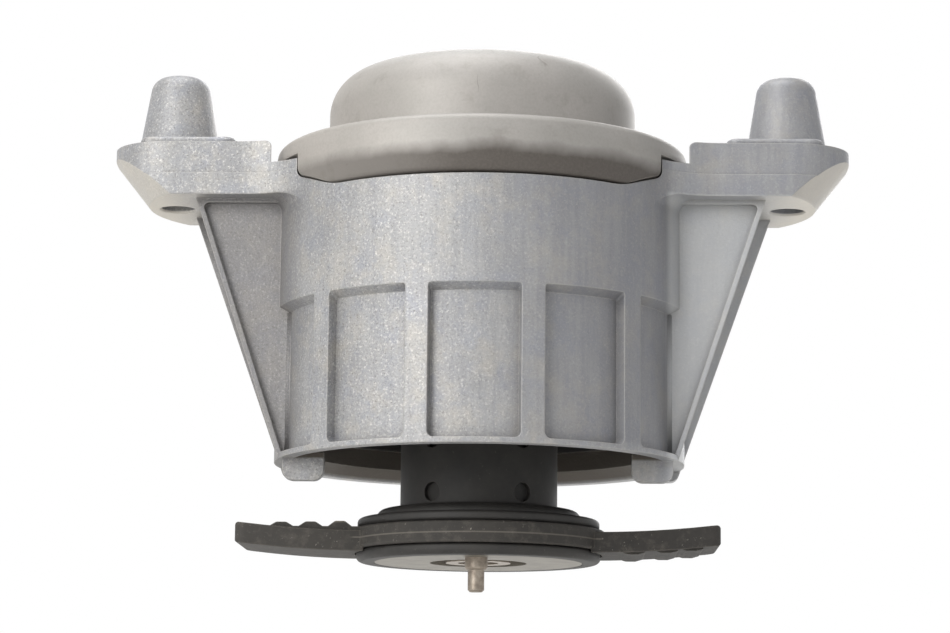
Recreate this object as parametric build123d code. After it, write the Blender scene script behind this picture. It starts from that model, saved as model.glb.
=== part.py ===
from build123d import *

import math
import os

# Hydraulic engine mount, in millimetres. +Z runs up through the domed cap, -Y is the front,
# and the origin is the centre of the core's underside, at the mouth of its central thread.

# Housing, die-cast aluminium
body_radius = 51.0
body_wall = 6.5
rim_z = 24.2
mouth_chamfer = 3.0
ring_seat_z = 32.0
ring_seat_step = 1.0
chamber_z = 75.0
chamber_step = 1.5
collar_height = 9.0
collar_step = 1.2
groove_depth = 1.0
groove_height = 2.4
collar_chamfer = 0.9

# Pockets cast into the outside of the body
division_angle = 31.3
rib_width = 5.7
pocket_depth = 2.7
pocket_lip = 1.3
pocket_top_z = 62.0
pocket_ceiling_slope = 1.6
pocket_top_corner = 0.6
pocket_bottom_corner = 1.6

# Ears, their blind threaded bosses and the pads round them
ear_z = 89.0
ear_thickness = 13.4
boss_spacing = 154.0
ear_overhang = 15.1
ear_half_depth = 20.0
ear_corner_radius = 15.0
ear_root_radius = 20.0
ear_step_height = 5.5
ear_step = 0.4
ear_well_width = 5.8
ear_well_drop = 1.1
ear_well_round = 1.6
ear_underside_blend = 3.5
end_cone_inset = 38.5
end_cone_radius = 30.4
end_cone_slope = 0.796
boss_base_radius = 10.4
boss_height = 20.6
boss_draft = 0.1667
boss_top_fillet = 4.0
pad_height = 2.2
pad_half_depth = 16.0
pad_inner_reach = 16.0
pad_outer_reach = 8.0
pad_corner_radius = 3.0
pad_edge_fillet = 1.2
ear_thread_radius = 4.25
ear_thread_depth = 24.0
ear_thread_countersink = 0.5

# Gusset plates and feet under the ears
gusset_top_inset = 6.4
gusset_bottom_inset = 2.1
rear_gusset_top_inset = 3.4
rear_gusset_bottom_inset = 1.4
rear_gusset_drop = 2.4
gusset_channel_half = 10.0
gusset_web = 2.8
gusset_lip = 2.0
gusset_lip_width = 1.3
gusset_root_depth = 4.0
web_corner_radius = 1.2
web_ceiling = 1.0
rear_gusset_corner_radius = 2.2
foot_outer_inset = 3.3
foot_width = 10.1
foot_drop = 5.3
foot_thickness = 3.4
foot_corner_radius = 2.7
foot_root = 1.5

# Cap, deep-drawn sheet crimped over the collar
cap_thickness = 2.0
cap_gap = 0.2
cap_shoulder_drop = 3.8
cap_shoulder_lean = 0.6
cap_shoulder_radius = 1.8
cap_bend_radius = 6.0
cap_inner_radius = 0.5
cap_edge_height = 4.7
cap_lip_height = 1.2
cap_lip_rise = 1.6
cap_hem_height = 5.2
cap_hem_lean = 1.1
cap_hem_radius = 1.6
cap_skirt_height = 14.2
cap_skirt_half_width = 44.3
skirt_flat_half = 35.0
skirt_flat_radius = 12.0
skirt_end_rise = 4.5
skirt_end_radius = 2.5
skirt_gap = 0.3
dome_inset = 11.1
dome_apex_height = 24.4
dome_crown_radius = 130.0
dome_corner_radius = 11.0
dome_root_fillet = 1.5

# Bellows and the steel hoop moulded into its bead
bellows_flange = 2.4
bellows_flange_inset = 1.0
bead_width = 4.4
bellows_wall = 1.8
bellows_outer_gap = 1.0
bellows_roll_height = 13.0
bellows_roll_width = 9.0
bellows_floor_drop = 4.0
bellows_fold_radius = 4.0
bellows_floor_radius = 2.0
bellows_root_radius = 1.0
hoop_thickness = 1.4
hoop_inset = 1.6
hoop_height = 9.5

# Channel plates, their rivets and the decoupler between them
plate_clearance = 0.2
plate_thickness = 6.0
channel_rim = 6.8
channel_width = 10.0
channel_half_height = 4.0
channel_wall_angle = 24.0
channel_port_angle = 20.0
cage_rim = 5.0
cage_half_height = 2.0
decoupler_clearance = 0.4
decoupler_thickness = 3.2
window_pitch = 8.6
window_radius = 2.9
window_edge = 4.0
rivet_inset = 3.5
rivet_radius = 1.5
rivet_count = 3

# Spring ring, load spring and core
ring_height = 42.0
ring_wall = 1.7
ring_land_height = 16.0
ring_throat = 5.5
ring_cone_height = 14.0
seal_lip_width = 3.0
spring_skin = 1.0
arch_root_z = 30.0
arch_top_z = 46.0
arch_bulge = 4.5
spring_nose_cover = 2.0
spring_crown_z = 70.0
pedestal_radius = 19.5
pedestal_foot_radius = 25.3
pedestal_foot_height = 2.3
pedestal_foot_fillet = 2.0
pedestal_fillet = 0.8
upper_lip_radius = 30.0
upper_lip_z = 8.0
upper_lip_height = 2.6
lower_lip_radius = 30.3
lower_lip_height = 2.8
lip_edge_fillet = 1.0
bottom_edge_fillet = 1.4
groove_floor_radius = 27.6
dimple_radius = 2.3
dimple_depth = 1.5
dimple_angle = 34.6
dimple_heights = (16.2, 29.3)
core_disc_radius = 26.3
core_disc_height = 9.0
core_disc_rise = 1.5
core_disc_edge_radius = 0.6
core_disc_shoulder_radius = 1.5
core_neck_radius = 16.5
core_neck_top_z = 36.0
core_neck_fillet = 2.0
core_cone_fillet = 4.0
core_nose_radius = 10.0
core_nose_z = 58.0
core_nose_fillet = 3.0
core_recess_radius = 12.0
core_recess_depth = 1.5

# Thread bush and locating pin in the core
bush_radius = 8.0
bush_length = 34.0
bush_floor = 4.0
core_thread_radius = 5.1
pin_y = -18.0
pin_radius = 2.0
pin_reach = 8.3
pin_hold = 7.0
pin_collar_radius = 2.75
pin_collar_height = 3.0
pin_collar_fillet = 0.7
pin_seat_depth = 0.5
pin_tip_chamfer = 0.5

# Stop ring with its two wings
stop_ring_radius = 31.3
stop_ring_fillet = 0.5
wing_reach = 59.4
wing_half_depth = 13.0
wing_thickness = 5.0
wing_lift = 2.0
wing_drop = 1.0
wing_corner_radius = 2.5
wing_tip_fillet = 0.9
wing_lip_gap = 0.3
left_bed_reach = 51.0
left_bed_depth = 3.0
left_nub_places = (48.0, 40.8, 33.6)
left_nub_heights = (1.0, 1.1, 1.3)
right_nub_places = (52.2, 46.1, 38.0)
right_nub_height = 0.5
nub_width = 5.8
nub_slope = 1.7
nub_round = 1.2
nub_root = 1.5
nub_inset = 1.5

# Sizes that follow from the ones above
boss_x = boss_spacing / 2
ear_top_z = ear_z + ear_thickness
ear_reach = boss_x + ear_overhang
end_cone_centre_x = ear_reach - end_cone_inset
collar_top_z = ear_z + collar_height
collar_radius = body_radius - collar_step
groove_radius = collar_radius - groove_depth
ear_well_radius = collar_radius + ear_well_width
bore_radius = body_radius - body_wall
seat_radius = bore_radius + ring_seat_step
chamber_radius = seat_radius + chamber_step
gusset_outer_y = gusset_channel_half + gusset_web + gusset_lip
gusset_root_x = body_radius - gusset_root_depth
foot_outer_x = body_radius - foot_outer_inset
foot_inner_x = foot_outer_x - foot_width
cap_flange_radius = collar_radius + cap_gap + cap_thickness
cap_flange_z = collar_top_z + bellows_flange
cap_top_z = cap_flange_z + cap_thickness
cap_skirt_z = cap_top_z - cap_skirt_height
dome_radius = collar_radius - dome_inset
plate_radius = chamber_radius - plate_clearance
channel_outer_radius = plate_radius - channel_rim
channel_inner_radius = channel_outer_radius - channel_width
cage_radius = channel_inner_radius - cage_rim
rivet_circle_radius = plate_radius - rivet_inset
plate_split_z = chamber_z + plate_thickness
plate_top_z = plate_split_z + plate_thickness
ring_top_z = ring_seat_z + ring_height


def disc(radius, low, high):
    return Pos(0, 0, low) * Cylinder(radius, high - low, align=(Align.CENTER, Align.CENTER, Align.MIN))


def ring(outer, inner, low, high):
    return disc(outer, low, high) - disc(inner, low, high)


def turned(points, radii=None):
    """A solid of revolution from (radius, height) points, with a fillet radius for each corner."""
    places = [(radius, 0, height) for radius, height in points]
    if radii is None:
        radii = [0] * len(points)
    outline = FilletPolyline(*places, radius=radii, close=True)
    return revolve(make_face(outline), Axis.Z, 360)


def side_plate(points, radii, near_y, far_y):
    """A plate whose (x, z) outline is extruded from near_y to far_y."""
    places = [(x, near_y, z) for x, z in points]
    outline = FilletPolyline(*places, radius=radii, close=True)
    return extrude(make_face(outline), far_y - near_y, dir=(0, 1, 0))


def round_edges(shape, radius, height=None):
    """The circular edges of one radius, at one height if it is given."""
    circles = [edge for edge in shape.edges() if edge.geom_type == GeomType.CIRCLE]
    circles = [edge for edge in circles if abs(edge.radius - radius) < 0.01]
    return [edge for edge in circles if height is None or abs(edge.center().Z - height) < 0.01]


def both_sides(shape):
    return shape + mirror(shape, Plane.YZ)


def sector(radius, start, end, low, high):
    """A wedge of a disc between two angles, in degrees from the +X axis."""
    steps = 6
    reach = radius / math.cos(math.radians((end - start) / steps / 2))
    angles = [math.radians(start + (end - start) * step / steps) for step in range(steps + 1)]
    rim = [(reach * math.cos(angle), reach * math.sin(angle)) for angle in angles]
    wedge = Pos(0, 0, low) * extrude(make_face(Polyline((0, 0), *rim, close=True)), high - low)
    return wedge


def ear_plan(step):
    """The ears seen from above, joined through the body, with their sides set in by step."""
    ears = RectangleRounded(2 * ear_reach, 2 * (ear_half_depth - step), ear_corner_radius - step)
    plan = Circle(body_radius) + ears
    roots = [corner for corner in plan.vertices() if abs(corner.center().length - body_radius) < 0.01]
    return fillet(roots, ear_root_radius)


def ear_well():
    """The round room for the cap's flange, with the casting rounded over at its top."""
    outside = ear_well_radius + 2 * ear_well_round
    return turned(
        [
            (0, collar_top_z - ear_well_drop),
            (ear_well_radius, collar_top_z - ear_well_drop),
            (ear_well_radius, ear_top_z),
            (outside, ear_top_z),
            (outside, ear_top_z + 1),
            (0, ear_top_z + 1),
        ],
        [0, 0, ear_well_round, 0, 0, 0],
    )


def ears():
    """The two ears with their stepped sides, the well round the cap and the coned ends."""
    step_z = ear_z + ear_step_height
    lower = Pos(0, 0, ear_z) * extrude(ear_plan(0), ear_step_height)
    upper = Pos(0, 0, step_z) * extrude(ear_plan(ear_step), ear_top_z - step_z)
    solid = lower + upper - ear_well()
    end_depth = 2 * ear_half_depth + 2
    end_block = Pos(end_cone_centre_x, 0, ear_z) * Box(
        ear_reach, end_depth, ear_thickness, align=(Align.MIN, Align.CENTER, Align.MIN)
    )
    end_cone = Pos(end_cone_centre_x, 0, ear_z) * Cone(
        end_cone_radius,
        end_cone_radius + end_cone_slope * ear_thickness,
        ear_thickness,
        align=(Align.CENTER, Align.CENTER, Align.MIN),
    )
    return solid - both_sides(end_block - end_cone)


def ear_blend():
    """The concave blend between the ears' underside and the body's wall."""
    reach = body_radius + ear_underside_blend
    low_z = ear_z - ear_underside_blend
    middle = ear_underside_blend * (1 - math.sqrt(0.5))
    curve = ThreePointArc(
        (reach, 0, ear_z), (body_radius + middle, 0, ear_z - middle), (body_radius, 0, low_z)
    )
    inside = Polyline(
        (body_radius, 0, low_z), (body_radius - 1, 0, low_z), (body_radius - 1, 0, ear_z), (reach, 0, ear_z)
    )
    blend = revolve(make_face(Wire([curve] + list(inside.edges()))), Axis.Z, 360)
    return blend & Pos(0, 0, low_z) * extrude(ear_plan(0), ear_underside_blend)


def boss():
    """One blind boss on its pad, tapered by the casting draft."""
    top_radius = boss_base_radius - boss_draft * boss_height
    peg = Pos(boss_x, 0, ear_top_z) * Cone(
        boss_base_radius, top_radius, boss_height, align=(Align.CENTER, Align.CENTER, Align.MIN)
    )
    peg = fillet(peg.edges().sort_by(Axis.Z)[-1], boss_top_fillet)
    pad_plan = RectangleRounded(pad_inner_reach + pad_outer_reach, 2 * pad_half_depth, pad_corner_radius)
    pad_centre = boss_x + (pad_outer_reach - pad_inner_reach) / 2
    pad = Pos(pad_centre, 0, ear_top_z) * extrude(pad_plan, pad_height)
    pad = fillet(pad.faces().sort_by(Axis.Z)[-1].edges(), pad_edge_fillet)
    return peg + pad


def ear_thread():
    """The blind tapped hole of one ear, with its drill point and a small countersink."""
    mouth_radius = ear_thread_radius + ear_thread_countersink
    outline = make_face(
        Polyline(
            (0, 0, ear_z),
            (mouth_radius, 0, ear_z),
            (ear_thread_radius, 0, ear_z + ear_thread_countersink),
            (ear_thread_radius, 0, ear_z + ear_thread_depth),
            (0, 0, ear_z + ear_thread_depth + ear_thread_radius / 2),
            close=True,
        )
    )
    return Pos(boss_x, 0, 0) * revolve(outline, Axis.Z, 360)


def gusset(top_inset, bottom_inset, low_z, corner_radius):
    """One plate beside the channel: a thin web with a raised lip along its sloping edge."""
    top_x = boss_x - top_inset
    bottom_x = body_radius - bottom_inset
    slope = (top_x - bottom_x) / (ear_z - low_z)
    plate = side_plate(
        [(gusset_root_x, ear_z), (top_x, ear_z), (bottom_x, low_z), (gusset_root_x, low_z)],
        [0, 0, corner_radius, 0],
        gusset_channel_half,
        gusset_outer_y,
    )
    recess_z = rim_z + pocket_lip
    ceiling_z = ear_z - web_ceiling
    recess_x = bottom_x + slope * (recess_z - low_z) - gusset_lip_width
    ceiling_x = top_x - slope * web_ceiling - gusset_lip_width
    recess = side_plate(
        [
            (gusset_root_x - 1, ceiling_z),
            (ceiling_x, ceiling_z),
            (recess_x, recess_z),
            (gusset_root_x - 1, recess_z),
        ],
        [0, web_corner_radius, web_corner_radius, 0],
        gusset_outer_y - gusset_lip,
        gusset_outer_y + 1,
    )
    return plate - recess


def foot():
    """The short foot that stands below the rim at the front of one side."""
    low_z = rim_z - foot_drop
    top_z = rim_z + foot_root
    return side_plate(
        [(foot_inner_x, top_z), (foot_inner_x, low_z), (foot_outer_x, low_z), (foot_outer_x, top_z)],
        [0, foot_corner_radius, foot_corner_radius, 0],
        -gusset_outer_y,
        foot_thickness - gusset_outer_y,
    )


def gussets():
    """Both plates and the foot of the +X side; the rear plate is wider and ends below the rim."""
    front = mirror(gusset(gusset_top_inset, gusset_bottom_inset, rim_z, 0), Plane.XZ)
    low_z = rim_z - rear_gusset_drop
    rear = gusset(rear_gusset_top_inset, rear_gusset_bottom_inset, low_z, rear_gusset_corner_radius)
    return front + foot() + rear


def radial_edges(shape):
    """The edges that lead straight out from the axis."""
    found = []
    for edge in shape.edges():
        start, end = edge @ 0, edge @ 1
        if abs(math.hypot(start.X, start.Y) - math.hypot(end.X, end.Y)) > pocket_depth:
            found.append(edge)
    return found


def pocket(centre_angle, start, end):
    """The hollow between two ribs, with rounded corners and a ceiling that slopes up outwards."""
    low = rim_z + pocket_lip
    middle = (low + pocket_top_z) / 2
    floor_radius = body_radius - pocket_depth
    outside = floor_radius + 3 * pocket_depth
    hollow = turned(
        [
            (floor_radius, low),
            (outside, low),
            (outside, pocket_top_z + 2 * pocket_ceiling_slope),
            (floor_radius, pocket_top_z - pocket_ceiling_slope),
        ]
    )
    wedge_top_z = pocket_top_z + 3 * pocket_ceiling_slope
    hollow = hollow & sector(outside + 1, centre_angle + start, centre_angle + end, low - 1, wedge_top_z)
    lower = [edge for edge in radial_edges(hollow) if edge.center().Z < middle]
    hollow = fillet(lower, pocket_bottom_corner)
    upper = [edge for edge in radial_edges(hollow) if edge.center().Z > middle]
    return fillet(upper, pocket_top_corner)


def pockets():
    """Three closed pockets and two side pockets up to the gussets on the front, and the same behind."""
    rib_half = math.degrees(rib_width / 2 / body_radius)
    half = division_angle / 2
    plate_y = gusset_channel_half + gusset_web / 2
    plate_angle = math.degrees(math.acos(plate_y / (body_radius - pocket_depth)))
    outer_rib = half + division_angle
    shapes = []
    for facing in (-90, 90):
        shapes.append(pocket(facing, rib_half - half, half - rib_half))
        for near, far in ((half + rib_half, outer_rib - rib_half), (outer_rib + rib_half, plate_angle)):
            shapes.append(pocket(facing, near, far))
            shapes.append(pocket(facing, -far, -near))
    return shapes


def skirt_prism(gap):
    """The cap's skirt as seen from the front, grown by a gap and run through from front to back."""
    end = cap_skirt_half_width + gap
    low_z = cap_skirt_z - gap
    return side_plate(
        [
            (-end, cap_flange_z),
            (-end, low_z + skirt_end_rise),
            (-skirt_flat_half, low_z),
            (skirt_flat_half, low_z),
            (end, low_z + skirt_end_rise),
            (end, cap_flange_z),
        ],
        [0, skirt_end_radius, skirt_flat_radius, skirt_flat_radius, skirt_end_radius, 0],
        -2 * body_radius,
        2 * body_radius,
    )


def make_housing():
    """The casting: body, collar, ears, bosses, gussets and feet in one piece."""
    body = disc(body_radius, rim_z, ear_z) + disc(collar_radius, ear_z, collar_top_z)
    solid = body + ears() + ear_blend()
    groove_top_z = cap_skirt_z - skirt_gap + groove_height
    crimp_room = turned(
        [
            (groove_radius, ear_z - collar_height),
            (body_radius + 5, ear_z - collar_height),
            (body_radius + 5, collar_top_z + 1),
            (collar_radius, collar_top_z + 1),
            (collar_radius, groove_top_z + collar_chamfer),
            (groove_radius, groove_top_z),
        ]
    )
    solid = solid - (crimp_room & skirt_prism(skirt_gap))
    for hollow in pockets():
        solid = solid - hollow
    solid = solid + both_sides(gussets()) + both_sides(boss())
    bore = turned(
        [
            (0, rim_z - 1),
            (bore_radius + mouth_chamfer + 1, rim_z - 1),
            (bore_radius, rim_z + mouth_chamfer),
            (bore_radius, ring_seat_z),
            (seat_radius, ring_seat_z),
            (seat_radius, chamber_z),
            (chamber_radius, chamber_z),
            (chamber_radius, collar_top_z + 1),
            (0, collar_top_z + 1),
        ]
    )
    return solid - (bore - both_sides(foot())) - both_sides(ear_thread())


def dome(radius, crown_radius, corner_radius, low, apex):
    """A round dome: a cylinder under a shallow crown, with the corner between them rounded."""
    crown = Pos(0, 0, apex - crown_radius) * Sphere(crown_radius)
    solid = disc(radius, low, apex) & crown
    corner = [edge for edge in round_edges(solid, radius) if edge.center().Z > low + 1]
    return fillet(corner, corner_radius)


def make_cover_cap():
    """The cap: one sheet drawn into a dome, a flange with a turned edge and a crimped skirt."""
    skirt_inner = cap_flange_radius - cap_thickness
    flange = turned(
        [
            (0, cap_flange_z),
            (skirt_inner, cap_flange_z),
            (skirt_inner, cap_skirt_z + cap_lip_height + cap_lip_rise),
            (groove_radius + cap_gap, cap_skirt_z + cap_lip_height),
            (groove_radius + cap_gap, cap_skirt_z),
            (cap_flange_radius - cap_hem_lean, cap_skirt_z),
            (cap_flange_radius, cap_skirt_z + cap_hem_height),
            (cap_flange_radius, cap_top_z - cap_shoulder_drop),
            (cap_flange_radius - cap_shoulder_lean, cap_top_z),
            (0, cap_top_z),
        ],
        [
            0,
            cap_inner_radius,
            0,
            0,
            0,
            cap_hem_radius,
            cap_bend_radius,
            cap_bend_radius,
            cap_shoulder_radius,
            0,
        ],
    )
    # The turn starts at the back, clear of the cuts that end the skirt at both sides
    flange = Rot(0, 0, 90) * flange
    below_edge = disc(cap_flange_radius + 1, cap_skirt_z - 1, cap_top_z - cap_edge_height)
    flange = flange - (below_edge - skirt_prism(0))
    apex = cap_top_z + dome_apex_height
    outer = dome(dome_radius, dome_crown_radius, dome_corner_radius, cap_flange_z, apex)
    inner = dome(
        dome_radius - cap_thickness,
        dome_crown_radius - cap_thickness,
        dome_corner_radius - cap_thickness,
        cap_flange_z - 1,
        apex - cap_thickness,
    )
    solid = flange + outer
    root = round_edges(solid, dome_radius, cap_top_z)
    return fillet(root, dome_root_fillet) - inner


def make_bellows():
    """The rubber bellows: a bead in the chamber, a flange on the collar and one rolled fold."""
    outer = dome_radius - cap_thickness - bellows_outer_gap
    fold = outer - bellows_roll_width
    top_z = cap_flange_z + bellows_roll_height
    floor_z = cap_flange_z - bellows_floor_drop
    wall = bellows_wall
    bead_inner = chamber_radius - bead_width
    solid = turned(
        [
            (0, floor_z),
            (fold, floor_z),
            (fold, top_z),
            (outer, top_z),
            (outer, cap_flange_z),
            (collar_radius - bellows_flange_inset, cap_flange_z),
            (collar_radius - bellows_flange_inset, collar_top_z),
            (chamber_radius, collar_top_z),
            (chamber_radius, plate_top_z),
            (bead_inner, plate_top_z),
            (bead_inner, collar_top_z),
            (outer - wall, collar_top_z),
            (outer - wall, top_z - wall),
            (fold + wall, top_z - wall),
            (fold + wall, floor_z - wall),
            (0, floor_z - wall),
        ],
        [
            0,
            bellows_floor_radius,
            bellows_fold_radius,
            bellows_fold_radius,
            bellows_root_radius,
            0,
            0,
            0,
            0,
            0,
            bellows_root_radius,
            bellows_root_radius,
            bellows_fold_radius - wall,
            bellows_fold_radius - wall,
            bellows_floor_radius + wall,
            0,
        ],
    )
    return solid - make_bellows_hoop()


def make_bellows_hoop():
    outer = chamber_radius - hoop_inset
    return ring(outer, outer - hoop_thickness, plate_top_z, plate_top_z + hoop_height)


def window_places():
    """Centres of the round windows through both plates, in rings round the middle."""
    places = [(0.0, 0.0)]
    rings = int((cage_radius - window_edge) / window_pitch)
    for row in range(1, rings + 1):
        count = 6 * row
        for index in range(count):
            angle = 2 * math.pi * index / count
            places.append((row * window_pitch * math.cos(angle), row * window_pitch * math.sin(angle)))
    return places


def rivet_places():
    step = 360 / rivet_count
    angles = [math.radians(90 + step * index) for index in range(rivet_count)]
    return [(rivet_circle_radius * math.cos(a), rivet_circle_radius * math.sin(a)) for a in angles]


def channel_plate(low, high, channel_low, channel_high, cage_low, cage_high, port_start):
    """Half of the channel pair: a round plate with half the long channel and half the cage."""
    plate = disc(plate_radius, low, high)
    groove = ring(channel_outer_radius, channel_inner_radius, channel_low, channel_high)
    wall = sector(plate_radius, -channel_wall_angle / 2, channel_wall_angle / 2, low, high)
    port = ring(channel_outer_radius, channel_inner_radius, low, high) & sector(
        plate_radius, port_start, port_start + channel_port_angle, low, high
    )
    solid = plate - (groove - wall) - port - disc(cage_radius, cage_low, cage_high)
    for x, y in window_places():
        solid = solid - Pos(x, y, 0) * disc(window_radius, low, high)
    for x, y in rivet_places():
        solid = solid - Pos(x, y, 0) * disc(rivet_radius, low, high)
    return solid


def make_channel_plate_lower():
    return channel_plate(
        chamber_z,
        plate_split_z,
        plate_split_z - channel_half_height,
        plate_split_z,
        plate_split_z - cage_half_height,
        plate_split_z,
        channel_wall_angle / 2,
    )


def make_channel_plate_upper():
    return channel_plate(
        plate_split_z,
        plate_top_z,
        plate_split_z,
        plate_split_z + channel_half_height,
        plate_split_z,
        plate_split_z + cage_half_height,
        -channel_wall_angle / 2 - channel_port_angle,
    )


def make_channel_rivets():
    rivets = [Pos(x, y, 0) * disc(rivet_radius, chamber_z, plate_top_z) for x, y in rivet_places()]
    return Compound(children=rivets)


def make_decoupler_disc():
    low = plate_split_z - cage_half_height
    return disc(cage_radius - decoupler_clearance, low, low + decoupler_thickness)


def make_spring_outer_ring():
    """The metal ring pressed into the housing, coned inside where the rubber pushes on it."""
    land_radius = seat_radius - ring_wall
    throat_radius = seat_radius - ring_throat
    land_top = ring_seat_z + ring_land_height
    return turned(
        [
            (land_radius, ring_seat_z),
            (seat_radius, ring_seat_z),
            (seat_radius, ring_top_z),
            (throat_radius, ring_top_z),
            (throat_radius, land_top + ring_cone_height),
            (land_radius, land_top),
        ]
    )


def core_profile():
    """The core's outline: base disc, neck, and the cone that the rubber grips."""
    return turned(
        [
            (0, 0),
            (core_disc_radius, 0),
            (core_disc_radius, core_disc_height),
            (core_neck_radius, core_disc_height + core_disc_rise),
            (core_neck_radius, core_neck_top_z),
            (core_nose_radius, core_nose_z),
            (0, core_nose_z),
        ],
        [
            0,
            core_disc_edge_radius,
            core_disc_shoulder_radius,
            core_neck_fillet,
            core_cone_fillet,
            core_nose_fillet,
            0,
        ],
    )


def make_load_spring():
    """The rubber moulded round core and ring: lips, pedestal, cone and the seal on the ring."""
    land_radius = seat_radius - ring_wall
    throat_radius = seat_radius - ring_throat
    skin_radius = land_radius - spring_skin
    upper_top = upper_lip_z + upper_lip_height
    lower = [
        (0, 0),
        (lower_lip_radius, 0),
        (lower_lip_radius, lower_lip_height),
        (groove_floor_radius, lower_lip_height),
        (groove_floor_radius, upper_lip_z),
        (upper_lip_radius, upper_lip_z),
        (upper_lip_radius, upper_top),
        (pedestal_foot_radius, upper_top),
        (pedestal_foot_radius, upper_top + pedestal_foot_height),
        (pedestal_radius, upper_top + pedestal_foot_height),
        (pedestal_radius, arch_root_z),
    ]
    lower_radii = [
        bottom_edge_fillet,
        lip_edge_fillet,
        0,
        0,
        lip_edge_fillet,
        lip_edge_fillet,
        0,
        pedestal_foot_fillet,
        pedestal_fillet,
    ]
    foot = turned(lower + [(0, arch_root_z)], [0] + lower_radii + [0, 0])
    arch_end = (skin_radius, arch_top_z)
    upper = [
        (skin_radius, ring_seat_z),
        (land_radius, ring_seat_z),
        (land_radius, ring_seat_z + ring_land_height),
        (throat_radius, ring_seat_z + ring_land_height + ring_cone_height),
        (throat_radius, ring_top_z),
        (throat_radius + seal_lip_width, ring_top_z),
        (throat_radius + seal_lip_width, chamber_z),
        (throat_radius - spring_skin, chamber_z),
        (throat_radius - spring_skin, spring_crown_z),
        (core_nose_radius + spring_nose_cover, core_nose_z + spring_nose_cover),
        (0, core_nose_z + spring_nose_cover),
        (0, arch_root_z),
        (pedestal_radius, arch_root_z),
    ]
    places = [(radius, 0, height) for radius, height in [arch_end] + upper]
    arch_middle = ((pedestal_radius + skin_radius) / 2, 0, (arch_root_z + arch_top_z) / 2 + arch_bulge)
    arch = ThreePointArc(places[-1], arch_middle, places[0])
    cone = revolve(make_face(Wire([arch] + list(Polyline(*places).edges()))), Axis.Z, 360)
    solid = foot + cone - core_profile()
    for height in dimple_heights:
        for facing in (-90, 90):
            for side in (-1, 1):
                place = Rot(0, 0, facing + side * dimple_angle) * Pos(pedestal_radius, 0, height)
                solid = solid - place * Rot(0, 90, 0) * Cylinder(dimple_radius, 2 * dimple_depth)
    return solid


def make_inner_core():
    """The core casting, bored for the bush and the pin, with a shallow recess round the bush."""
    recess = ring(core_recess_radius, bush_radius, 0, core_recess_depth)
    bush_bore = disc(bush_radius, 0, bush_length)
    pin_bore = disc(pin_radius, 0, pin_hold) + disc(pin_collar_radius, 0, pin_seat_depth)
    return core_profile() - recess - bush_bore - Pos(0, pin_y, 0) * pin_bore


def make_core_thread_bush():
    return disc(bush_radius, 0, bush_length) - disc(core_thread_radius, 0, bush_length - bush_floor)


def make_locating_pin():
    """The stepped pin: pressed into the core, its collar in a shallow seat, its tip chamfered."""
    solid = turned(
        [
            (0, pin_hold),
            (pin_radius, pin_hold),
            (pin_radius, pin_seat_depth),
            (pin_collar_radius, pin_seat_depth),
            (pin_collar_radius, -pin_collar_height),
            (pin_radius, -pin_collar_height),
            (pin_radius, -pin_reach + pin_tip_chamfer),
            (pin_radius - pin_tip_chamfer, -pin_reach),
            (0, -pin_reach),
        ],
        [0, 0, 0, 0, pin_collar_fillet, 0, 0, 0, 0],
    )
    return Pos(0, pin_y, 0) * solid


def nub(centre_x, base_z, height, upward):
    """A low ridge across a wing, with sloping flanks and a rounded top."""
    sign = 1 if upward else -1
    half = nub_width / 2
    places = [
        (centre_x - half, base_z - sign * nub_root),
        (centre_x - half, base_z),
        (centre_x - half + nub_slope, base_z + sign * height),
        (centre_x + half - nub_slope, base_z + sign * height),
        (centre_x + half, base_z),
        (centre_x + half, base_z - sign * nub_root),
    ]
    if not upward:
        places.reverse()
    radii = [0, 0, nub_round, nub_round, 0, 0]
    return side_plate(places, radii, nub_inset - wing_half_depth, wing_half_depth - nub_inset)


def wing_middle_z(x):
    """Height of a wing's middle plane, which rises gently towards its tip."""
    root_z = (lower_lip_height + upper_lip_z) / 2 - wing_drop
    travel = (abs(x) - groove_floor_radius) / (wing_reach - groove_floor_radius)
    return root_z + wing_lift * travel ** 2


def wing():
    """One wing on the +X side, a rubber slab that curves up a little."""
    half = wing_thickness / 2
    root_x = math.sqrt(groove_floor_radius ** 2 - wing_half_depth ** 2)
    stations = [root_x, (root_x + wing_reach) / 2, wing_reach]
    low = [(x, -wing_half_depth, wing_middle_z(x) - half) for x in stations]
    high = [(x, -wing_half_depth, wing_middle_z(x) + half) for x in stations]
    outline = Wire([
        ThreePointArc(*low),
        Line(low[2], high[2]),
        ThreePointArc(high[2], high[1], high[0]),
        Line(high[0], low[0]),
    ])
    profile = make_face(outline)
    tips = [corner for corner in profile.vertices() if abs(corner.X - wing_reach) < 0.01]
    slab = extrude(fillet(tips, wing_tip_fillet), 2 * wing_half_depth, dir=(0, 1, 0))
    plan = RectangleRounded(2 * wing_reach, 2 * wing_half_depth, wing_corner_radius)
    return slab & Pos(0, 0, -wing_reach) * extrude(plan, 2 * wing_reach)


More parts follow.
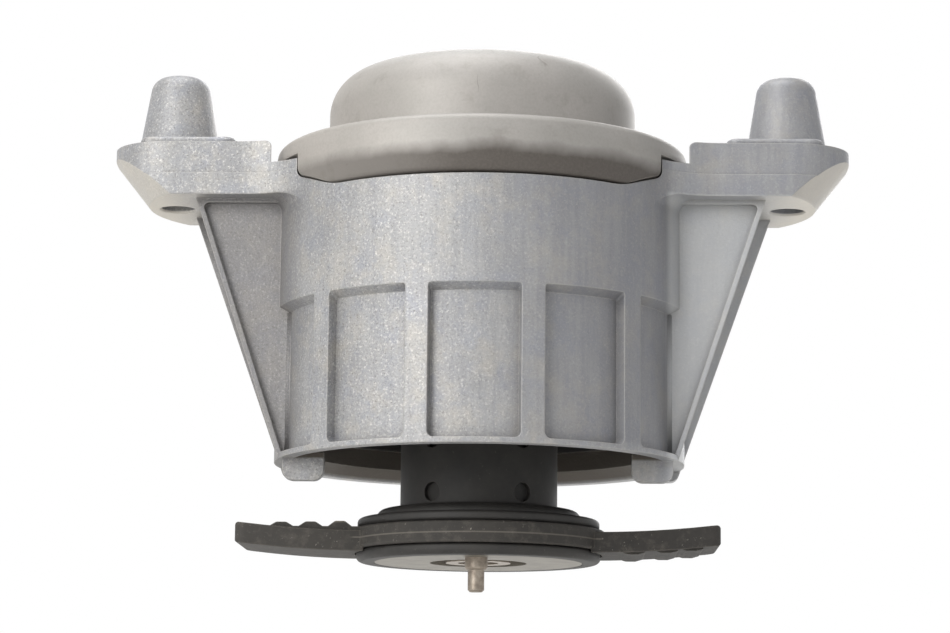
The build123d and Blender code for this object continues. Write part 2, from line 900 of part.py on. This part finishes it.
def make_stop_ring():
    """The rubber stop: a ring snapped between the lips, with a wing each side; the left wing's
    nubs stand on a level bed, the right wing's are below it."""
    half = wing_thickness / 2
    band = ring(stop_ring_radius, groove_floor_radius, lower_lip_height, upper_lip_z)
    band = fillet(round_edges(band, stop_ring_radius), stop_ring_fillet)
    solid = band + both_sides(wing())
    bed_z = wing_middle_z(left_bed_reach) + half
    bed_outline = [
        (-left_bed_reach, bed_z - nub_root),
        (-left_bed_reach, bed_z),
        (-groove_floor_radius, bed_z),
        (-groove_floor_radius, bed_z - left_bed_depth),
    ]
    half_depth = wing_half_depth - nub_inset
    solid = solid + side_plate(bed_outline, [0] * 4, -half_depth, half_depth)
    for place, height in zip(left_nub_places, left_nub_heights):
        solid = solid + nub(-place, bed_z, height, True)
    for place in right_nub_places:
        solid = solid + nub(place, wing_middle_z(place) - half, right_nub_height, False)
    solid = solid - disc(groove_floor_radius, 0, upper_lip_z + 5)
    solid = solid - disc(lower_lip_radius + wing_lip_gap, -1, lower_lip_height)
    return solid - disc(upper_lip_radius + wing_lip_gap, upper_lip_z, upper_lip_z + 5)


makers = {
    "housing": make_housing,
    "cover_cap": make_cover_cap,
    "bellows": make_bellows,
    "bellows_hoop": make_bellows_hoop,
    "channel_plate_upper": make_channel_plate_upper,
    "channel_plate_lower": make_channel_plate_lower,
    "channel_rivets": make_channel_rivets,
    "decoupler_disc": make_decoupler_disc,
    "spring_outer_ring": make_spring_outer_ring,
    "load_spring": make_load_spring,
    "inner_core": make_inner_core,
    "core_thread_bush": make_core_thread_bush,
    "locating_pin": make_locating_pin,
    "stop_ring": make_stop_ring,
}

os.makedirs("parts", exist_ok=True)
for name, make in makers.items():
    export_step(make(), f"parts/{name}.step")
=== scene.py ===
import math

import bpy
from mathutils import Matrix, Vector


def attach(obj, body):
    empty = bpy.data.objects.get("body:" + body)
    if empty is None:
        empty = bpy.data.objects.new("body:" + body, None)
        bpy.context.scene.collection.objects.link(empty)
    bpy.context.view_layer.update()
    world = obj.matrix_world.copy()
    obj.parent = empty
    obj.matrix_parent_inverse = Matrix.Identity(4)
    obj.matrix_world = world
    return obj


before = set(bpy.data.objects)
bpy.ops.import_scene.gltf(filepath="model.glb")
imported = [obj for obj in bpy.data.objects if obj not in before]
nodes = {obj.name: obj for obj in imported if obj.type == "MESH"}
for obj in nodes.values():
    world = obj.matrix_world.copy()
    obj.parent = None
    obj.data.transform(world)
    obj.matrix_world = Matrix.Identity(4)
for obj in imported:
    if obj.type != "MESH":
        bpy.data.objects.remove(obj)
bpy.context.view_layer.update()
scene = bpy.context.scene
scene.view_settings.view_transform = "Standard"


# Camera
# It looks up at the mount from below its base, a little from the right, and is rolled slightly.
# The photograph is 950 pixels wide, and its lens has a focal length of 2800 of them.
focal_pixels = 2800
image_width = 950
sensor_mm = 36
distance = 0.7038
pitch = math.radians(9.4)
turn = math.radians(1.65)
roll = math.radians(0.58)
target = Vector((-0.0014, 0, 0.062))

forward = Vector((0, math.cos(pitch), math.sin(pitch)))
up = Vector((0, -math.sin(pitch), math.cos(pitch)))
right = Vector((1, 0, 0))
rolled_right = math.cos(roll) * right + math.sin(roll) * up
rolled_up = math.cos(roll) * up - math.sin(roll) * right
spin = Matrix.Rotation(turn, 3, "Z")
axes = [spin @ axis for axis in (rolled_right, rolled_up, -forward)]
camera = bpy.data.objects.new("camera", bpy.data.cameras.new("camera"))
scene.collection.objects.link(camera)
camera.data.sensor_width = sensor_mm
camera.data.lens = sensor_mm * focal_pixels / image_width
place = spin @ (target - distance * forward)
camera.matrix_world = Matrix.Translation(place) @ Matrix(axes).transposed().to_4x4()
scene.camera = camera


# Housing
# One aluminium die casting, left as it came out of the die: a matt, finely mottled skin with
# warm and bluish patches. Its edges are bright, partly from wear and partly as a painted
# highlight, and light and shade are painted into it: painted shade in its corners, on the right
# of the body, on the right ear's top, on the left web and in the mouth, and painted light on the
# right web and on the downward faces of the ear ends.
def linear(code):
    """Linear RGBA from an sRGB hex colour."""
    values = [int(code[i : i + 2], 16) / 255 for i in (1, 3, 5)]
    return [v / 12.92 if v <= 0.04045 else ((v + 0.055) / 1.055) ** 2.4 for v in values] + [1]


def fill(tree, sockets, values):
    """Each named socket linked to the output that it is given, or set to the value."""
    for name, value in values.items():
        if isinstance(value, bpy.types.NodeSocket):
            tree.links.new(value, sockets[name])
        else:
            sockets[name].default_value = value


def add(tree, kind, inputs=None, **settings):
    """One shader node. Its settings come first, because they decide which sockets it has."""
    made = tree.nodes.new(kind)
    for name, value in settings.items():
        setattr(made, name, value)
    fill(tree, made.inputs, inputs or {})
    return made


def both(tree, mask, other):
    """A mask of what two masks share."""
    return add(tree, "ShaderNodeMath", {0: mask, 1: other}, operation="MULTIPLY").outputs[0]


def distance_to(tree, value, middle=0.0):
    """How far a value is from the middle, on either side."""
    inputs = {0: value, 1: middle}
    apart = add(tree, "ShaderNodeMath", inputs, operation="SUBTRACT").outputs[0]
    return add(tree, "ShaderNodeMath", {0: apart}, operation="ABSOLUTE").outputs[0]


def coordinates(tree):
    """The x, y and z of a point on the object, in metres."""
    place = add(tree, "ShaderNodeTexCoord").outputs["Object"]
    return add(tree, "ShaderNodeSeparateXYZ", {0: place}).outputs


def from_axis(tree):
    """The distance of a point from the mount's axis, in metres."""
    x, y, _ = coordinates(tree)
    flat = add(tree, "ShaderNodeCombineXYZ", {0: x, 1: y}).outputs[0]
    return add(tree, "ShaderNodeVectorMath", {0: flat}, operation="LENGTH").outputs["Value"]


def mask_from(tree, value, ends, most=1.0, least=0.0):
    """A mask at its least up to the first end and at its most from the second end on."""
    start, stop = ends
    limits = {"From Min": start, "From Max": stop, "To Min": least, "To Max": most}
    return add(tree, "ShaderNodeMapRange", {"Value": value, **limits}).outputs["Result"]


def part_of(tree, mask, most):
    """The mask made weaker, so that it reaches only the most."""
    return mask_from(tree, mask, (0, 1), most)


def grain(tree, size_mm, detail=3, roughness=0.6, offset=(0, 0, 0), stretch=1):
    """Noise whose blotches are about size_mm across, drawn out upwards by stretch."""
    place = add(tree, "ShaderNodeTexCoord").outputs["Object"]
    inputs = {"Vector": place, "Location": offset, "Scale": (1, 1, 1 / stretch)}
    moved = add(tree, "ShaderNodeMapping", inputs).outputs["Vector"]
    inputs = {"Vector": moved, "Scale": 1000 / size_mm, "Detail": detail, "Roughness": roughness}
    return add(tree, "ShaderNodeTexNoise", inputs).outputs["Fac"]


def blotches(tree, size_mm, ends=(0.35, 0.65), most=1.0, **noise):
    """A mask of the blotches where the noise passes both ends."""
    return mask_from(tree, grain(tree, size_mm, **noise), ends, most)


def tint(tree, base, mask, code):
    """The base colour with another laid over it by the mask.

    In a Mix node of colours, 0, 6 and 7 are the sockets for the mask and the two colours.
    """
    inputs = {0: mask, 6: base, 7: linear(code)}
    return add(tree, "ShaderNodeMix", inputs, data_type="RGBA").outputs[2]


def grained(tree, normal, size_mm, depth_mm, strength, **noise):
    """A normal with small relief on it, from grain of a size and depth."""
    inputs = {"Height": grain(tree, size_mm, **noise), "Distance": depth_mm / 1000}
    inputs |= {"Strength": strength, "Normal": normal}
    return add(tree, "ShaderNodeBump", inputs).outputs["Normal"]


edge_samples = 6


def corners(tree, reach_mm):
    """A mask of the inner corners, from ambient occlusion, where shade falls."""
    inputs = {"Distance": reach_mm / 1000}
    seen = add(tree, "ShaderNodeAmbientOcclusion", inputs, samples=edge_samples).outputs["AO"]
    return mask_from(tree, seen, (0.85, 0.35))


def rounded(tree, radius_mm):
    """The surface's normal with its outer edges rounded, and a mask of those edges.

    Inner corners keep their own normal. In a Mix node of vectors, 0, 4 and 5 are the sockets.
    """
    inputs = {"Radius": radius_mm / 1000}
    soft = add(tree, "ShaderNodeBevel", inputs, samples=edge_samples).outputs["Normal"]
    flat = add(tree, "ShaderNodeNewGeometry").outputs["Normal"]
    inputs = {0: soft, 1: flat}
    agree = add(tree, "ShaderNodeVectorMath", inputs, operation="DOT_PRODUCT").outputs["Value"]
    inner = corners(tree, 4 * radius_mm)
    normal = add(tree, "ShaderNodeMix", {0: inner, 4: soft, 5: flat}, data_type="VECTOR").outputs[1]
    inputs = {0: mask_from(tree, agree, (0.995, 0.9)), 1: inner}
    outer = add(tree, "ShaderNodeMath", inputs, operation="SUBTRACT", use_clamp=True).outputs[0]
    return normal, outer


def surface(name, build):
    """A material whose shader inputs come from build(tree)."""
    material = bpy.data.materials.new(name)
    material.use_nodes = True
    tree = material.node_tree
    fill(tree, tree.nodes["Principled BSDF"].inputs, build(tree))
    return material


def dress(names, material):
    for name in names:
        nodes[name].data.materials.clear()
        nodes[name].data.materials.append(material)


# Each broad stain grows from nothing at the first of its two places to its most at the second
shaded_body_right_x = (0.0, 0.03)
body_side_x = (0.0475, 0.046)
body_foot_z = (0.024, 0.027)
below_ear_z = (0.0895, 0.0885)
above_ear_z = (0.0885, 0.0895)
shaded_right_ear_x = (0.050, 0.056)
lit_right_web_x = (0.0455, 0.047)
shaded_left_web_x = (-0.042, -0.0495)
mouth_radius = (0.0478, 0.0466)
mouth_z = (0.0240, 0.0246)
ear_end_x = (0.066, 0.08)
facing_down = (-0.3, -0.75)


def die_cast_aluminium(tree):
    x, _, z = coordinates(tree)
    geometry = add(tree, "ShaderNodeNewGeometry").outputs["Normal"]
    facing = add(tree, "ShaderNodeSeparateXYZ", {0: geometry}).outputs["Z"]
    soft, outer_edges = rounded(tree, 0.45)
    # Patches of the die's release coat, drawn out upwards where the die slid off
    coat = blotches(tree, 18, detail=4)
    drag = blotches(tree, 1.6, (0.42, 0.62), 0.3, offset=(0.7, 0, 0), stretch=14)
    blue = blotches(tree, 8, (0.48, 0.66), 0.45, detail=4, roughness=0.65, offset=(0, 0.5, 0))
    cream = blotches(tree, 9, (0.5, 0.66), 0.35, detail=4, roughness=0.7, offset=(0.3, 0, 0))
    # Fine bright and dark flecks, coarser than the real grain, which is too small to show
    fleck_ends, fleck_most = (0.53, 0.68), 0.75
    bright = blotches(tree, 0.6, fleck_ends, fleck_most, roughness=0.8, offset=(0, 0, 0.2))
    dark = blotches(tree, 0.5, fleck_ends, fleck_most, roughness=0.8, offset=(0.1, 0.2, 0))
    # The flecks are strongest on the lit left of the body and fade towards its shaded right:
    # painted light and shade
    lit_side_flecks = mask_from(tree, x, (0.02, -0.02), 1, 0.35)
    # Painted shade: bluish and darker on the right of the body and on the top of the right ear,
    # darker on the left web and dark brown in the mouth; a painted highlight pales the right web
    shaded_wall = both(tree, mask_from(tree, x, body_side_x), mask_from(tree, z, body_foot_z))
    below_ear = mask_from(tree, z, below_ear_z)
    above_ear = mask_from(tree, z, above_ear_z)
    mouth_shade = mask_from(tree, from_axis(tree), mouth_radius, 0.95)
    # The downward faces of the ears' ends are painted pale cream, as light from below
    ear_end = mask_from(tree, distance_to(tree, x), ear_end_x)
    lit_ear_ends = both(tree, mask_from(tree, facing, facing_down), ear_end)
    base = tint(tree, linear("#A4A4A6"), coat, "#B4B4B5")
    for mask, code in (
        (drag, "#8D8E94"),
        (blue, "#9A9EAA"),
        (cream, "#C6BFB2"),
        (both(tree, bright, lit_side_flecks), "#E6E4E0"),
        (both(tree, dark, lit_side_flecks), "#75736F"),
        # Painted shade on the right of the body
        (both(tree, mask_from(tree, x, shaded_body_right_x, 0.42), shaded_wall), "#72737B"),
        # Painted shade on the top of the right ear
        (both(tree, mask_from(tree, x, shaded_right_ear_x, 0.3), above_ear), "#7C7D84"),
        # Painted shade on the left web
        (both(tree, mask_from(tree, x, shaded_left_web_x, 0.62), below_ear), "#7C7979"),
        # A painted highlight on the right web
        (both(tree, mask_from(tree, x, lit_right_web_x, 0.55), below_ear), "#D2D4D6"),
        # Painted shade in the mouth
        (both(tree, mouth_shade, mask_from(tree, z, mouth_z)), "#5A534A"),
        # Painted light on the downward faces of the ear ends
        (part_of(tree, lit_ear_ends, 0.7), "#E6DFD2"),
        # Painted shade in the inner corners
        (part_of(tree, corners(tree, 5), 0.42), "#5A5754"),
        # Bright edges, partly wear and partly a painted highlight
        (part_of(tree, outer_edges, 0.35), "#DAD7D1"),
    ):
        base = tint(tree, base, mask, code)
    normal = grained(tree, soft, 0.8, 0.12, 0.8, roughness=0.7)
    normal = grained(tree, normal, 6, 0.25, 0.6, roughness=0.5)
    rough = mask_from(tree, coat, (0, 1), 0.58, 0.46)
    return {"Base Color": base, "Metallic": 0.35, "Roughness": rough, "Normal": normal}


casting = surface("as-cast aluminium", die_cast_aluminium)
dress(["housing"], casting)

web_y = 0.0128
pocket_radius = 0.0483
fillet_z = (0.0257, 0.0604)
fillet_reach = 0.0009
fillet_hollow = 0.7
fillet_steps = 8
depth_in_floor = 0.0006
depth_in_web = 0.0004


def root_fillets():
    """The cast fillets where the four gusset webs meet the side pockets of the body."""
    floor_y = web_y + fillet_reach
    back_y = web_y - depth_in_web
    corner = Vector((math.sqrt(pocket_radius**2 - web_y**2), web_y))
    on_web = Vector((corner.x + fillet_reach, web_y))
    on_floor = Vector((math.sqrt(pocket_radius**2 - floor_y**2), floor_y))
    middle = corner.lerp((on_web + on_floor) / 2, fillet_hollow)
    outline = []
    for step in range(fillet_steps + 1):
        share = step / fillet_steps
        outline.append(on_web.lerp(middle, share).lerp(middle.lerp(on_floor, share), share))
    outline += [Vector((corner.x - depth_in_floor, back_y)), Vector((on_web.x, back_y))]
    count = len(outline)
    verts, faces = [], []
    for side, end in ((1, 1), (1, -1), (-1, 1), (-1, -1)):
        low, high = len(verts), len(verts) + count
        verts += [(side * point.x, end * point.y, z) for z in fillet_z for point in outline]
        loops = [list(reversed(range(low, high))), list(range(high, high + count))]
        for here in range(count):
            there = (here + 1) % count
            loops.append([low + here, low + there, high + there, high + here])
        if side * end < 0:
            loops = [loop[::-1] for loop in loops]
        faces += loops
    mesh = bpy.data.meshes.new("root_fillets")
    mesh.from_pydata(verts, [], faces)
    for face in mesh.polygons:
        face.use_smooth = len(face.vertices) == 4
    return mesh


fillets = bpy.data.objects.new("root_fillets", root_fillets())
scene.collection.objects.link(fillets)
fillets.data.materials.append(casting)
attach(fillets, "root")


# Cover cap
# Aluminium sheet drawn into a dome and crimped under the collar. The drawing leaves it matt and
# even, and a few hairline scratches cross it. Its crimped skirt is painted dark as shade, most on
# the right, and its left side and the top of its dome are painted lighter as light.
lit_left_x = (-0.01, -0.045)
hem_shade_x = (-0.04, -0.005)
lit_dome_top_z = (0.1195, 0.1225)
shaded_hem_z = (0.0960, 0.0925)
waver = 0.0015


def drawn_sheet(tree):
    x, _, z = coordinates(tree)
    soft, outer_edges = rounded(tree, 0.4)
    # The height wavers, so that the lines between the tones aren't drawn with a ruler
    sway = mask_from(tree, grain(tree, 9), (0, 1), waver, -waver)
    height = add(tree, "ShaderNodeMath", {0: sway, 1: z}, operation="ADD").outputs[0]
    # Painted shade on the crimped skirt, weaker towards the left
    shaded_hem = both(tree, mask_from(tree, height, shaded_hem_z), mask_from(tree, x, hem_shade_x, 0.95, 0.5))
    stains = blotches(tree, 6, (0.54, 0.7), 0.3, detail=4, roughness=0.7, offset=(0.4, 0, 0))
    # Rare hairline scratches, each a thin stretch of a warped band
    place = add(tree, "ShaderNodeTexCoord").outputs["Object"]
    inputs = {"Vector": place, "Scale": 90, "Detail": 1, "Distortion": 0.6}
    band = add(tree, "ShaderNodeTexNoise", inputs).outputs["Fac"]
    thin = mask_from(tree, distance_to(tree, band, 0.5), (0.004, 0.001))
    rare = blotches(tree, 12, (0.6, 0.64), detail=2, roughness=0.5, offset=(0.9, 0, 0))
    scratches = both(tree, both(tree, thin, rare), 0.45)
    patches = blotches(tree, 26, roughness=0.5)
    base = tint(tree, linear("#ACA9A5"), patches, "#B8B4B0")
    for mask, code in (
        # Painted light on the left of the cap
        (mask_from(tree, x, lit_left_x, 0.3), "#C4BCB1"),
        # Painted light on the top of the dome
        (mask_from(tree, height, lit_dome_top_z, 0.85), "#CBC9C6"),
        (stains, "#8E8881"),
        # Painted shade on the crimped skirt
        (shaded_hem, "#58524D"),
        (blotches(tree, 0.6, (0.4, 0.66), 0.14), "#86817A"),
        (scratches, "#6E675F"),
        (part_of(tree, outer_edges, 0.3), "#DAD6D0"),
    ):
        base = tint(tree, base, mask, code)
    normal = grained(tree, soft, 0.7, 0.03, 0.5, detail=2, roughness=0.5)
    return {"Base Color": base, "Metallic": 0.3, "Roughness": 0.52, "Normal": normal}


dress(["cover_cap"], surface("deep-drawn aluminium sheet", drawn_sheet))


# Load spring, bellows and decoupler disc
# Natural rubber, black with a grey bloom and smooth from its mould. The spring is moulded round
# the core. The bellows and the loose disc are inside, out of sight.
def moulded_rubber(tree):
    soft, outer_edges = rounded(tree, 0.4)
    base = tint(tree, linear("#272625"), blotches(tree, 9, detail=4), "#343230")
    bloom = blotches(tree, 0.8, (0.66, 0.72), 0.35, roughness=0.7)
    base = tint(tree, base, bloom, "#6B6660")
    base = tint(tree, base, part_of(tree, outer_edges, 0.35), "#66625D")
    normal = grained(tree, soft, 0.9, 0.05, 0.6)
    return {"Base Color": base, "Roughness": 0.6, "Normal": normal}


black_rubber = surface("moulded natural rubber", moulded_rubber)
dress(["load_spring", "bellows", "decoupler_disc"], black_rubber)


# Stop ring
# A moulded rubber ring with two wings, snapped into the groove of the base. It is dustier than
# the spring, and the bed and nubs of its left wing are painted pale as light falling on them.
greyer_left_x = (0.035, -0.03)
between_wings_x = (0.031, 0.030)
left_wing_x = (-0.031, -0.033)
wing_bed_z = (0.0088, 0.0096)
parting_z = 0.0052
parting_width = (0.00022, 0.00012)


def dusty_rubber(tree):
    x, _, z = coordinates(tree)
    soft, outer_edges = rounded(tree, 0.5)
    dust = blotches(tree, 3, (0.5, 0.7), 0.25, detail=4, roughness=0.75, offset=(0.2, 0, 0))
    specks = blotches(tree, 0.7, (0.67, 0.72), 0.6, roughness=0.7)
    # The mould's parting line runs round the band between the wings
    line = mask_from(tree, distance_to(tree, z, parting_z), parting_width)
    parting = both(tree, line, mask_from(tree, distance_to(tree, x), between_wings_x))
    # The bed and nubs of the left wing are painted pale: painted light falling on them from behind
    lit_left_wing = both(tree, mask_from(tree, x, left_wing_x), mask_from(tree, z, wing_bed_z, 0.75))
    base = tint(tree, linear("#2B2927"), blotches(tree, 9, detail=4), "#393633")
    for mask, code in (
        (mask_from(tree, x, greyer_left_x, 0.35), "#4C4945"),
        (dust, "#7D776F"),
        (specks, "#BDB7AD"),
        (part_of(tree, parting, 0.45), "#8A847B"),
        (lit_left_wing, "#B9B29F"),
        (part_of(tree, outer_edges, 0.35), "#8C867D"),
    ):
        base = tint(tree, base, mask, code)
    normal = grained(tree, soft, 0.9, 0.06, 0.6)
    return {"Base Color": base, "Roughness": 0.72, "Normal": normal}


dress(["stop_ring"], surface("dusty moulded rubber", dusty_rubber))


# Core, ring and channel plates
# The core and the ring pressed into the housing are turned aluminium; the plates are cast and
# riveted together. All are hidden but the core's underside, which is satin, its colour darkened
# as painted shade.
def turned_aluminium(tree):
    # The colour is darkened as painted shade of the core's underside
    base = tint(tree, linear("#7C776F"), blotches(tree, 6), "#8F8A81")
    base = tint(tree, base, blotches(tree, 0.7, (0.45, 0.66), 0.3), "#8F8B84")
    return {"Base Color": base, "Metallic": 0.8, "Roughness": 0.48}


channel = ["channel_plate_upper", "channel_plate_lower", "channel_rivets"]
turned = surface("turned aluminium", turned_aluminium)
dress(["inner_core", "spring_outer_ring", *channel], turned)


# Locating pin, thread bush and bellows hoop
# Turned steel, dull from storage, with a warm brown tinge. The pin is pressed into the base of
# the core, the bush into its centre, and the hoop is moulded into the bead of the bellows.
def turned_steel(tree):
    soft, outer_edges = rounded(tree, 0.2)
    base = tint(tree, linear("#82786E"), blotches(tree, 2), "#A69C90")
    base = tint(tree, base, part_of(tree, outer_edges, 0.5), "#D8D0C6")
    return {"Base Color": base, "Metallic": 0.9, "Roughness": 0.42, "Normal": soft}


steel = surface("dull turned steel", turned_steel)
dress(["locating_pin", "core_thread_bush", "bellows_hoop"], steel)


# Stage and light
# A pale floor that the camera is too low to see, a white surround and three soft lamps. The
# floor fades out before its edges, so that no horizon shows from the other sides.
floor_half = 1
floor_z = -0.06
floor_fade = (0.8, 0.35)
floor_glow = 0.25
floor_corners = [(-1, -1), (1, -1), (1, 1), (-1, 1)]
floor_verts = [(x * floor_half, y * floor_half, floor_z) for x, y in floor_corners]
floor_mesh = bpy.data.meshes.new("floor")
floor_mesh.from_pydata(floor_verts, [], [(0, 1, 2, 3)])
floor = bpy.data.objects.new("floor", floor_mesh)
scene.collection.objects.link(floor)


def seen_directly(tree):
    """1 for a ray from the camera, a mirror or a glass, 0 for a ray that lights something."""
    path = add(tree, "ShaderNodeLightPath").outputs
    seen = path["Is Camera Ray"]
    for kind in ("Is Transmission Ray", "Is Glossy Ray"):
        inputs = {0: seen, 1: path[kind]}
        seen = add(tree, "ShaderNodeMath", inputs, operation="MAXIMUM").outputs[0]
    return seen


def pale_floor(tree):
    return {
        "Alpha": mask_from(tree, from_axis(tree), floor_fade),
        "Base Color": linear("#F2F1EE"),
        "Roughness": 0.8,
        "Emission Color": linear("#FFFFFF"),
        "Emission Strength": part_of(tree, seen_directly(tree), floor_glow),
    }


floor_mesh.materials.append(surface("pale matt floor", pale_floor))

surround_strength = 0.22
world = bpy.data.worlds.new("surround")
scene.world = world
world.use_nodes = True
world_tree = world.node_tree
strength = mask_from(world_tree, seen_directly(world_tree), (0, 1), 1.0, surround_strength)
background = world_tree.nodes["Background"]
fill(world_tree, background.inputs, {"Color": linear("#FFFFFF"), "Strength": strength})

lamps_aim_at = Vector((0, 0, 0.06))


def lamp(name, size, watts, place, colour):
    """A square softbox that faces the mount, with its size in metres."""
    light = bpy.data.lights.new(name, "AREA")
    light.shape = "SQUARE"
    light.size = size
    light.energy = watts
    light.color = linear(colour)[:3]
    holder = bpy.data.objects.new(name, light)
    scene.collection.objects.link(holder)
    holder.location = place
    holder.rotation_mode = "QUATERNION"
    holder.rotation_quaternion = (lamps_aim_at - Vector(place)).to_track_quat("-Z", "Y")


lamp("top softbox", 0.6, 3.8, (-0.15, -0.1, 0.85), "#FFFFFF")
lamp("key softbox", 0.5, 3.9, (-0.5, -0.7, 0.3), "#FFFEFB")
lamp("back softbox", 0.6, 4, (0.2, 0.75, 0.4), "#FFFFFF")
